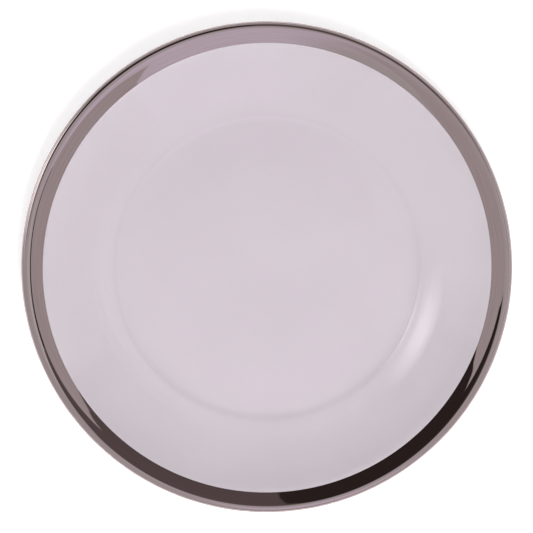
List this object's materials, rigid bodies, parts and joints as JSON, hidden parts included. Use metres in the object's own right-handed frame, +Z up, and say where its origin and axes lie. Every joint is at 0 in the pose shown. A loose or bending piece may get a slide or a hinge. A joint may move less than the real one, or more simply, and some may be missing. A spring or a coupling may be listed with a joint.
{
  "type": "side plate",
  "caption": "Round lilac-tinted clear glass side plate with a shallow well, a sloping rim, a flat base, and a mirror-bright platinum band over the rim's rolled edge.",
  "frame": {"origin": "centre of the plate on the table it stands on, at the level of the base's flat ring", "axes": "+Z up along the plate's axis, +X and +Y level; the plate is a body of revolution, so +X is any level direction"},
  "size_m": [0.21, 0.21, 0.0195],
  "materials": {
    "glass": "fire-polished pressed glass with a faint lilac tint",
    "platinum": "mirror-bright fired platinum film, faintly warm"
  },
  "bodies": {
    "root": {"glass_plate": "glass", "platinum_band": "platinum"}
  },
  "joints": []
}
